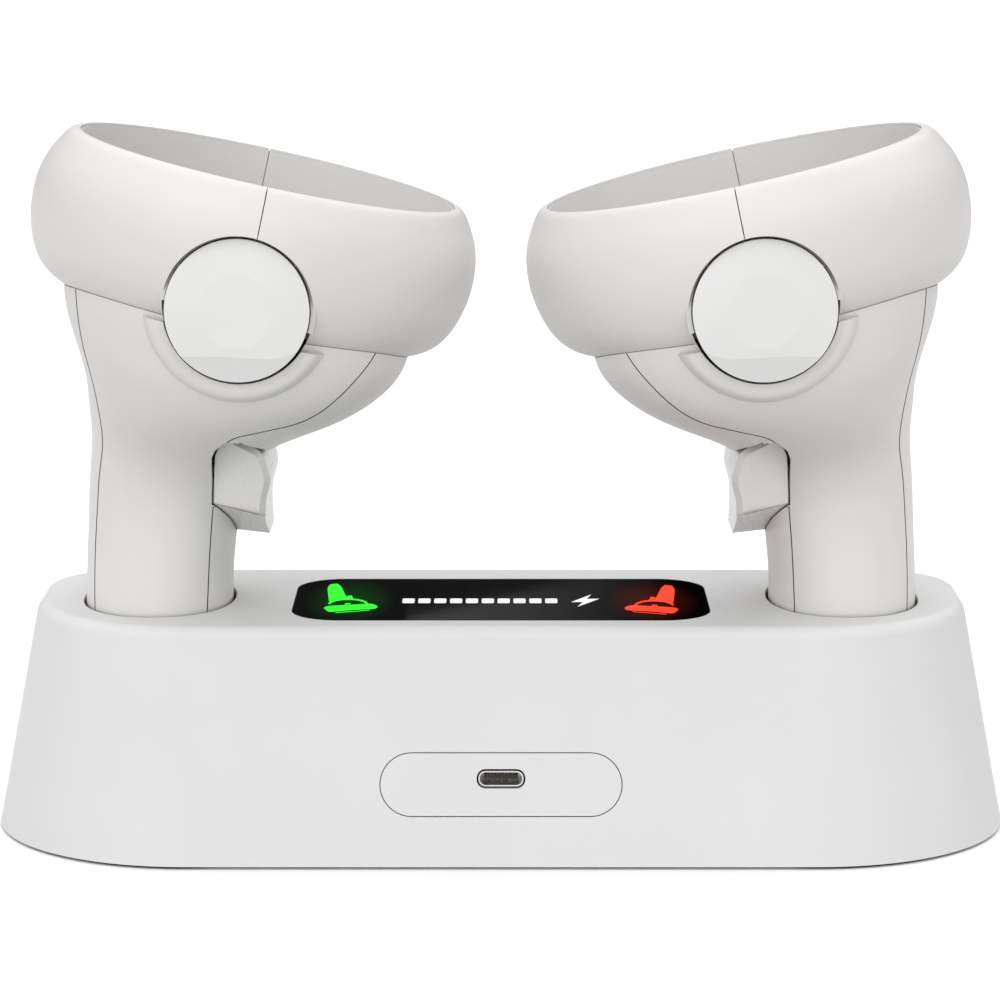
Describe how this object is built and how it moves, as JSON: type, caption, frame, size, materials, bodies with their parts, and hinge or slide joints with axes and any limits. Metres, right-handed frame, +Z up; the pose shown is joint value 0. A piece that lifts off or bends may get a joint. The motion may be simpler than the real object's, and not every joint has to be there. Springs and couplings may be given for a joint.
{
  "type": "vr motion controllers in charging dock",
  "caption": "Hand-held VR motion controllers with tracking rings, standing in a white charging dock with a black status window and a USB-C socket.",
  "frame": {"origin": "centre of the dock's underside, on the table", "axes": "+Z up, -Y towards the dock's charging socket and the controllers' triggers, +X towards the left-hand controller"},
  "size_m": [0.2078, 0.0894, 0.1446],
  "materials": {
    "dock_white": "fine matte",
    "white_plastic": "fine matte",
    "ring_band": "satin",
    "face_plate_white": "satin",
    "trigger_white": "satin",
    "key_white": "semi-gloss",
    "stick_grey": "soft touch",
    "nylon": "matte",
    "black_window": "high gloss",
    "black_plastic": "matte",
    "dark_base": "matte",
    "black_rubber": "matte",
    "steel": "stamped",
    "contact_gold": "gold flash",
    "circuit_board": "solder mask",
    "battery_jacket": "printed sleeve"
  },
  "bodies": {
    "dock": {"dock_shell": "dock_white", "base_plate": "dark_base", "rubber_feet": "black_rubber", "base_screws": "steel", "display_window": "black_window", "port_bezel": "dock_white", "usb_shell": "steel", "usb_tongue": "black_plastic", "charge_board": "circuit_board", "pogo_barrels": "contact_gold"},
    "right_controller": {"right_ring_cover_outboard": "white_plastic", "right_ring_cover_inboard": "white_plastic", "right_ring_inner_band": "ring_band", "right_led_strip": "circuit_board", "right_front_shell": "white_plastic", "right_palm_shell": "white_plastic", "right_inner_shell": "white_plastic", "right_battery_door": "white_plastic", "right_face_plate": "face_plate_white", "right_stick_housing": "steel", "right_pivot_pins": "steel", "right_battery": "battery_jacket", "right_main_board": "circuit_board", "right_contact_pads": "contact_gold", "right_trigger_spring": "steel", "right_grip_spring": "steel"},
    "right_pogo": {"right_pogo_pins": "contact_gold"},
    "right_trigger_lever": {"right_trigger": "trigger_white"},
    "right_grip_lever": {"right_grip_button": "key_white"},
    "right_rocker": {"right_stick_rocker": "steel"},
    "right_pivot": {"right_stick_pivot": "nylon"},
    "right_stick": {"right_thumbstick": "stick_grey"},
    "right_button_lower_key": {"right_button_lower": "key_white"},
    "right_button_upper_key": {"right_button_upper": "key_white"},
    "right_menu_key": {"right_menu_button": "key_white"},
    "left_controller": {"left_ring_cover_outboard": "white_plastic", "left_ring_cover_inboard": "white_plastic", "left_ring_inner_band": "ring_band", "left_led_strip": "circuit_board", "left_front_shell": "white_plastic", "left_palm_shell": "white_plastic", "left_inner_shell": "white_plastic", "left_battery_door": "white_plastic", "left_face_plate": "face_plate_white", "left_stick_housing": "steel", "left_pivot_pins": "steel", "left_battery": "battery_jacket", "left_main_board": "circuit_board", "left_contact_pads": "contact_gold", "left_trigger_spring": "steel", "left_grip_spring": "steel"},
    "left_pogo": {"left_pogo_pins": "contact_gold"},
    "left_trigger_lever": {"left_trigger": "trigger_white"},
    "left_grip_lever": {"left_grip_button": "key_white"},
    "left_rocker": {"left_stick_rocker": "steel"},
    "left_pivot": {"left_stick_pivot": "nylon"},
    "left_stick": {"left_thumbstick": "stick_grey"},
    "left_button_lower_key": {"left_button_lower": "key_white"},
    "left_button_upper_key": {"left_button_upper": "key_white"},
    "left_menu_key": {"left_menu_button": "key_white"}
  },
  "joints": [
    {"name": "right_lift", "type": "slide", "parent": "dock", "child": "right_controller", "axis": [0, 0, 1], "range_m": [0, 0.09]},
    {"name": "right_pogo_press", "type": "slide", "parent": "dock", "child": "right_pogo", "axis": [0, 0, 1], "range_m": [-0.0008, 0], "stiffness_N_per_m": 100, "springref_m": 0.002},
    {"name": "right_trigger_pull", "type": "hinge", "parent": "right_controller", "child": "right_trigger_lever", "pos_m": [-0.05, -0.0465, 0.121], "axis": [1, 0, 0], "range_deg": [0, 12], "stiffness_Nm_per_rad": 0.02, "springref_deg": -17.19, "deforming": ["right_trigger_spring"]},
    {"name": "right_grip_squeeze", "type": "hinge", "parent": "right_controller", "child": "right_grip_lever", "pos_m": [-0.0596, -0.011, 0.072], "axis": [0, 0, 1], "range_deg": [0, 8], "stiffness_Nm_per_rad": 0.05, "springref_deg": -17.19, "deforming": ["right_grip_spring"]},
    {"name": "right_stick_tilt_sideways", "type": "hinge", "parent": "right_rocker", "child": "right_pivot", "pos_m": [-0.06263, -0.018, 0.10904], "axis": [0, 1, 0], "range_deg": [-16, 16], "stiffness_Nm_per_rad": 0.008},
    {"name": "right_stick_tilt_fore_aft", "type": "hinge", "parent": "right_controller", "child": "right_rocker", "pos_m": [-0.06263, -0.018, 0.10904], "axis": [0.9763, 0, -0.2164], "range_deg": [-16, 16], "stiffness_Nm_per_rad": 0.008},
    {"name": "right_stick_click", "type": "slide", "parent": "right_pivot", "child": "right_stick", "axis": [0.2164, 0, 0.9763], "range_m": [-0.0005, 0], "stiffness_N_per_m": 300, "springref_m": 0.002},
    {"name": "right_button_lower_press", "type": "slide", "parent": "right_controller", "child": "right_button_lower_key", "axis": [0.2164, 0, 0.9763], "range_m": [-0.0008, 0], "stiffness_N_per_m": 200, "springref_m": 0.002},
    {"name": "right_button_upper_press", "type": "slide", "parent": "right_controller", "child": "right_button_upper_key", "axis": [0.2164, 0, 0.9763], "range_m": [-0.0008, 0], "stiffness_N_per_m": 200, "springref_m": 0.002},
    {"name": "right_menu_press", "type": "slide", "parent": "right_controller", "child": "right_menu_key", "axis": [0.2164, 0, 0.9763], "range_m": [-0.0008, 0], "stiffness_N_per_m": 200, "springref_m": 0.002},
    {"name": "left_lift", "type": "slide", "parent": "dock", "child": "left_controller", "axis": [0, 0, 1], "range_m": [0, 0.09]},
    {"name": "left_pogo_press", "type": "slide", "parent": "dock", "child": "left_pogo", "axis": [0, 0, 1], "range_m": [-0.0008, 0], "stiffness_N_per_m": 100, "springref_m": 0.002},
    {"name": "left_trigger_pull", "type": "hinge", "parent": "left_controller", "child": "left_trigger_lever", "pos_m": [0.05, -0.0465, 0.121], "axis": [1, 0, 0], "range_deg": [0, 12], "stiffness_Nm_per_rad": 0.02, "springref_deg": -17.19, "deforming": ["left_trigger_spring"]},
    {"name": "left_grip_squeeze", "type": "hinge", "parent": "left_controller", "child": "left_grip_lever", "pos_m": [0.0596, -0.011, 0.072], "axis": [0, 0, -1], "range_deg": [0, 8], "stiffness_Nm_per_rad": 0.05, "springref_deg": -17.19, "deforming": ["left_grip_spring"]},
    {"name": "left_stick_tilt_sideways", "type": "hinge", "parent": "left_rocker", "child": "left_pivot", "pos_m": [0.06263, -0.018, 0.10904], "axis": [0, 1, 0], "range_deg": [-16, 16], "stiffness_Nm_per_rad": 0.008},
    {"name": "left_stick_tilt_fore_aft", "type": "hinge", "parent": "left_controller", "child": "left_rocker", "pos_m": [0.06263, -0.018, 0.10904], "axis": [-0.9763, 0, -0.2164], "range_deg": [-16, 16], "stiffness_Nm_per_rad": 0.008},
    {"name": "left_stick_click", "type": "slide", "parent": "left_pivot", "child": "left_stick", "axis": [-0.2164, 0, 0.9763], "range_m": [-0.0005, 0], "stiffness_N_per_m": 300, "springref_m": 0.002},
    {"name": "left_button_lower_press", "type": "slide", "parent": "left_controller", "child": "left_button_lower_key", "axis": [-0.2164, 0, 0.9763], "range_m": [-0.0008, 0], "stiffness_N_per_m": 200, "springref_m": 0.002},
    {"name": "left_button_upper_press", "type": "slide", "parent": "left_controller", "child": "left_button_upper_key", "axis": [-0.2164, 0, 0.9763], "range_m": [-0.0008, 0], "stiffness_N_per_m": 200, "springref_m": 0.002},
    {"name": "left_menu_press", "type": "slide", "parent": "left_controller", "child": "left_menu_key", "axis": [-0.2164, 0, 0.9763], "range_m": [-0.0008, 0], "stiffness_N_per_m": 200, "springref_m": 0.002}
  ]
}
